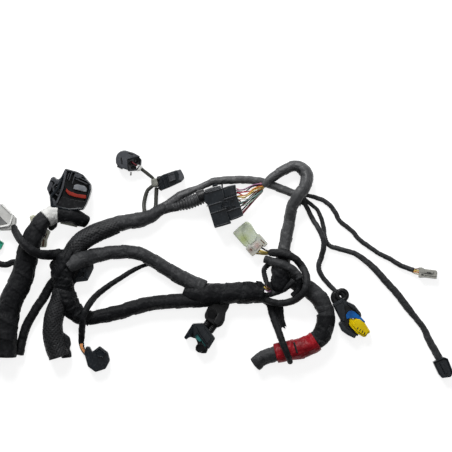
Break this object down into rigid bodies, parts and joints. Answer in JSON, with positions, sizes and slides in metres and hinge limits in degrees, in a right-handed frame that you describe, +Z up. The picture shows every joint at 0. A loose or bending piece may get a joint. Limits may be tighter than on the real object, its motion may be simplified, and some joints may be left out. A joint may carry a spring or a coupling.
{
  "type": "wiring harness",
  "caption": "Section of a taped vehicle wiring harness laid flat: trunks joined at a wrapped junction, a bundle loop, a corrugated tube and branches ending in plugs and sockets.",
  "frame": {"origin": "on the floor, below the middle of the harness's own pieces without its free branches and their plugs", "axes": "+X to the right of the laid-out harness, towards its long branches; +Y away from the cut ends, towards the connectors; +Z up from the floor"},
  "size_m": [0.4648, 0.2284, 0.0395],
  "materials": {
    "cloth_tape": "matte woven cloth tape, dusty",
    "vinyl_tape": "smooth vinyl tape with a soft sheen",
    "braided_sleeve": "braided polyester sleeve",
    "black_plastic": "moulded black polyamide, worn",
    "charcoal_plastic": "moulded dark grey PBT, scuffed",
    "corrugated_plastic": "corrugated polypropylene tube",
    "grey_plastic": "moulded warm grey plastic",
    "natural_nylon": "translucent natural nylon, slightly yellowed",
    "white_plastic": "moulded white plastic",
    "green_plastic": "moulded green plastic",
    "yellow_plastic": "moulded yellow plastic",
    "red_silicone": "red silicone seal",
    "blue_silicone": "blue silicone seal",
    "teal_silicone": "teal silicone seal",
    "black_rubber": "soft black rubber",
    "red_tape": "glossy red vinyl tape",
    "white_tape": "white paper-like tape",
    "tan_tape": "tan cloth tape"
  },
  "bodies": {
    "root": {"branch_lower": "cloth_tape", "branch_upper": "cloth_tape", "bundle_loop": "cloth_tape", "bundle_upper": "cloth_tape", "cord_crossing": "cloth_tape", "cord_edge_plug": "cloth_tape", "cord_green_plug": "cloth_tape", "cord_grey_plug": "cloth_tape", "cord_left_down": "cloth_tape", "cord_oval_plug": "cloth_tape", "cord_ring_plug": "cloth_tape", "cord_square_plug": "cloth_tape", "cord_to_red_tape": "cloth_tape", "cord_white_plug": "cloth_tape", "corrugated_tube": "corrugated_plastic", "crossing_plug_housing": "black_plastic", "edge_plug_housing": "black_plastic", "green_plug_housing": "green_plastic", "grey_plug_housing": "grey_plastic", "junction": "cloth_tape", "junction_clip": "black_plastic", "loop_inner": "cloth_tape", "loop_nylon_plug": "cloth_tape", "loop_thin": "cloth_tape", "mated_header_half": "charcoal_plastic", "mated_pair_lock": "black_plastic", "mated_plug_half": "charcoal_plastic", "natural_plug_housing": "natural_nylon", "nylon_plug_housing": "natural_nylon", "nylon_plug_latch": "natural_nylon", "oval_plug_housing": "charcoal_plastic", "oval_plug_insert": "grey_plastic", "red_tape_band": "red_tape", "ring_plug_body": "black_plastic", "ring_plug_nose": "yellow_plastic", "ring_plug_seal": "blue_silicone", "ring_plug_tube_ring": "corrugated_plastic", "sensor_boot": "black_rubber", "sensor_lead_lower": "black_rubber", "sensor_lead_upper": "black_rubber", "sensor_plug_housing": "charcoal_plastic", "sensor_plug_seal": "teal_silicone", "square_plug_housing": "charcoal_plastic", "square_plug_latch": "black_plastic", "tan_tape_band": "tan_tape", "tape_tail": "cloth_tape", "trunk_left": "cloth_tape", "trunk_main_braid": "braided_sleeve", "trunk_middle": "cloth_tape", "trunk_right": "cloth_tape", "trunk_upper_braid": "braided_sleeve", "trunk_upper_tape": "vinyl_tape", "tube_collar": "black_plastic", "white_socket_housing": "white_plastic", "white_tape_band": "white_tape", "wide_socket_housing": "black_plastic", "wide_socket_latch": "black_plastic", "wide_socket_seal": "red_silicone", "wide_socket_terminals": "grey_plastic"}
  },
  "joints": []
}
